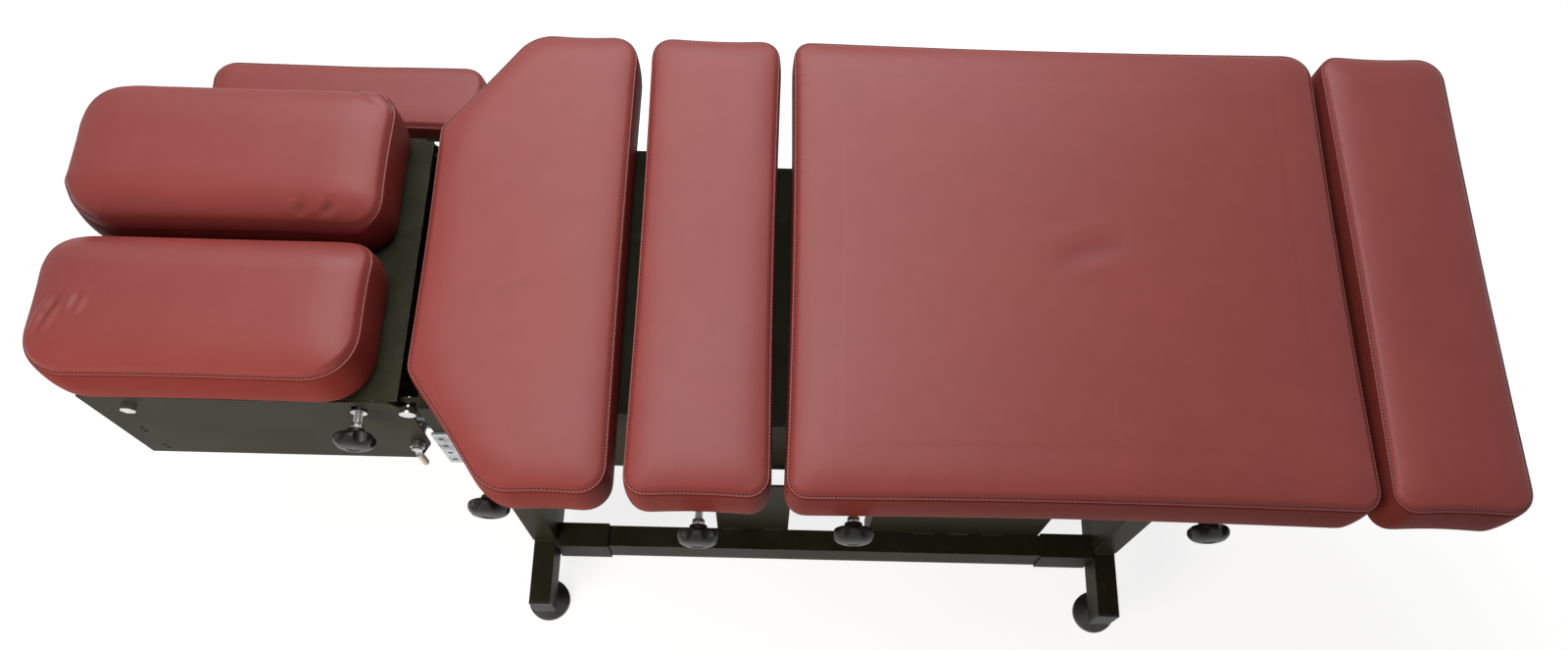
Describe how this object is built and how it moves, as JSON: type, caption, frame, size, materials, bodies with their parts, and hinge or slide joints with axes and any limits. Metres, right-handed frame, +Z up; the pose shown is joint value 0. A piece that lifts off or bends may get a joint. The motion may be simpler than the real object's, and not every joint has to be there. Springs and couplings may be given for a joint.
{
  "type": "chiropractic table",
  "caption": "Manual drop table with a split tilting headpiece, separate lifting body sections, sliding foot section, side armrest and star knobs on a steel base.",
  "frame": {"origin": "on the floor under the middle of the table", "axes": "+X from the head end to the foot end, +Y to the side of the armrest, +Z up"},
  "size_m": [1.69, 0.672, 0.62],
  "materials": {
    "frame_paint": "dark olive grey powder coat, fine texture, satin",
    "black_paint": "black powder coat, satin",
    "bright_steel": "bright plated steel",
    "zinc_steel": "zinc plated sheet steel, dull",
    "black_plastic": "black moulded plastic",
    "foot_plastic": "dark grey moulded plastic pad on a plated stem",
    "buffer_rubber": "black rubber",
    "pale_nylon": "pale cream nylon grip on a dark lever",
    "knob_plastic": "glossy black moulded star knob on a plated stud",
    "plywood": "birch plywood",
    "burgundy_leather": "burgundy vinyl leather with fine grain and top-stitched seams"
  },
  "bodies": {
    "base": {"base_rails": "frame_paint", "base_crossbars": "frame_paint", "corner_sleeves": "frame_paint", "crossbar_end_caps": "black_plastic", "levelling_bushes": "bright_steel", "leg_posts": "frame_paint", "front_columns": "frame_paint", "rear_columns": "frame_paint", "chassis_side_near": "frame_paint", "chassis_side_far": "frame_paint", "chassis_deck": "frame_paint", "chassis_ends": "frame_paint", "chassis_crossmembers": "frame_paint", "chest_bridges": "frame_paint", "hinge_lugs": "frame_paint", "hinge_pins": "bright_steel", "rest_buffers": "buffer_rubber", "knob_tubes": "black_paint", "foot_guides": "black_paint", "tilt_quadrant": "zinc_steel", "armrest_bracket": "frame_paint"},
    "levelling_1": {"levelling_foot_1": "foot_plastic"},
    "levelling_2": {"levelling_foot_2": "foot_plastic"},
    "levelling_3": {"levelling_foot_3": "foot_plastic"},
    "levelling_4": {"levelling_foot_4": "foot_plastic"},
    "head_section": {"head_side_near": "frame_paint", "head_side_far": "frame_paint", "head_floor": "frame_paint", "head_bolts": "bright_steel"},
    "tilt_clamp": {"tilt_lever": "pale_nylon"},
    "head_drop_tray": {"head_tray": "frame_paint", "guide_rods": "bright_steel"},
    "head_pad_near": {"head_board_near": "plywood", "head_cushion_near": "burgundy_leather"},
    "head_pad_far": {"head_board_far": "plywood", "head_cushion_far": "burgundy_leather"},
    "head_knob_body": {"head_knob": "knob_plastic"},
    "chest_section": {"chest_frame": "black_paint", "chest_board": "plywood", "chest_cushion": "burgundy_leather"},
    "chest_knob_body": {"chest_knob": "knob_plastic"},
    "lumbar_section": {"lumbar_frame": "black_paint", "lumbar_board": "plywood", "lumbar_cushion": "burgundy_leather"},
    "lumbar_knob_body": {"lumbar_knob": "knob_plastic"},
    "pelvic_section": {"pelvic_frame": "black_paint", "pelvic_board": "plywood", "pelvic_cushion": "burgundy_leather"},
    "pelvic_knob_body": {"pelvic_knob": "knob_plastic"},
    "foot_section": {"foot_slide_tubes": "bright_steel", "foot_riser": "black_paint", "foot_board": "plywood", "foot_cushion": "burgundy_leather"},
    "foot_knob_body": {"foot_knob": "knob_plastic"},
    "armrest_post_body": {"armrest_post": "bright_steel"},
    "armrest_pad_body": {"armrest_board": "plywood", "armrest_cushion": "burgundy_leather"},
    "armrest_clamp_body": {"armrest_clamp": "black_plastic"}
  },
  "joints": [
    {"name": "levelling_1", "type": "slide", "parent": "base", "child": "levelling_1", "axis": [0, 0, -1], "range_m": [0, 0.02]},
    {"name": "levelling_2", "type": "slide", "parent": "base", "child": "levelling_2", "axis": [0, 0, -1], "range_m": [0, 0.02]},
    {"name": "levelling_3", "type": "slide", "parent": "base", "child": "levelling_3", "axis": [0, 0, -1], "range_m": [0, 0.02]},
    {"name": "levelling_4", "type": "slide", "parent": "base", "child": "levelling_4", "axis": [0, 0, -1], "range_m": [0, 0.02]},
    {"name": "head_tilt", "type": "hinge", "parent": "base", "child": "head_section", "pos_m": [-0.434, 0, 0.488], "axis": [0, 1, 0], "range_deg": [-5, 18]},
    {"name": "tilt_clamp_turn", "type": "hinge", "parent": "head_section", "child": "tilt_clamp", "pos_m": [-0.44901, 0, 0.37398], "axis": [0, 1, 0], "range_deg": [0, 50]},
    {"name": "head_drop", "type": "hinge", "parent": "head_section", "child": "head_drop_tray", "pos_m": [-0.764, 0, 0.488], "axis": [0, -1, 0], "range_deg": [0, 3]},
    {"name": "head_spread_near", "type": "slide", "parent": "head_drop_tray", "child": "head_pad_near", "axis": [0, -1, 0], "range_m": [0, 0.025]},
    {"name": "head_spread_far", "type": "slide", "parent": "head_drop_tray", "child": "head_pad_far", "axis": [0, 1, 0], "range_m": [0, 0.025]},
    {"name": "head_knob_turn", "type": "hinge", "parent": "head_drop_tray", "child": "head_knob_body", "pos_m": [-0.492, -0.217, 0.487], "axis": [0, -1, 0], "continuous": true},
    {"name": "chest_drop", "type": "hinge", "parent": "base", "child": "chest_section", "pos_m": [-0.224, 0, 0.492], "axis": [0, 1, 0], "range_deg": [0, 3.7]},
    {"name": "chest_knob_turn", "type": "hinge", "parent": "base", "child": "chest_knob_body", "pos_m": [-0.327, -0.292, 0.48], "axis": [0, -1, 0], "continuous": true},
    {"name": "lumbar_drop", "type": "hinge", "parent": "base", "child": "lumbar_section", "pos_m": [-0.02, 0, 0.492], "axis": [0, 1, 0], "range_deg": [0, 4.5]},
    {"name": "lumbar_knob_turn", "type": "hinge", "parent": "base", "child": "lumbar_knob_body", "pos_m": [-0.083, -0.321, 0.48], "axis": [0, -1, 0], "continuous": true},
    {"name": "pelvic_drop", "type": "hinge", "parent": "base", "child": "pelvic_section", "pos_m": [0.643, 0, 0.492], "axis": [0, 1, 0], "range_deg": [0, 1.8]},
    {"name": "pelvic_knob_turn", "type": "hinge", "parent": "base", "child": "pelvic_knob_body", "pos_m": [0.097, -0.314, 0.48], "axis": [0, -1, 0], "continuous": true},
    {"name": "foot_extension", "type": "slide", "parent": "base", "child": "foot_section", "axis": [1, 0, 0], "range_m": [0, 0.15]},
    {"name": "foot_knob_turn", "type": "hinge", "parent": "base", "child": "foot_knob_body", "pos_m": [0.524, -0.293, 0.445], "axis": [0, -1, 0], "continuous": true},
    {"name": "armrest_height", "type": "slide", "parent": "base", "child": "armrest_post_body", "axis": [0, 0, 1], "range_m": [0, 0.05]},
    {"name": "armrest_swivel", "type": "hinge", "parent": "armrest_post_body", "child": "armrest_pad_body", "pos_m": [-0.43, 0.286, 0.408], "axis": [0, 0, 1], "range_deg": [-95, 0]},
    {"name": "armrest_clamp_turn", "type": "hinge", "parent": "base", "child": "armrest_clamp_body", "pos_m": [-0.46, 0.286, 0.379], "axis": [1, 0, 0], "continuous": true}
  ]
}
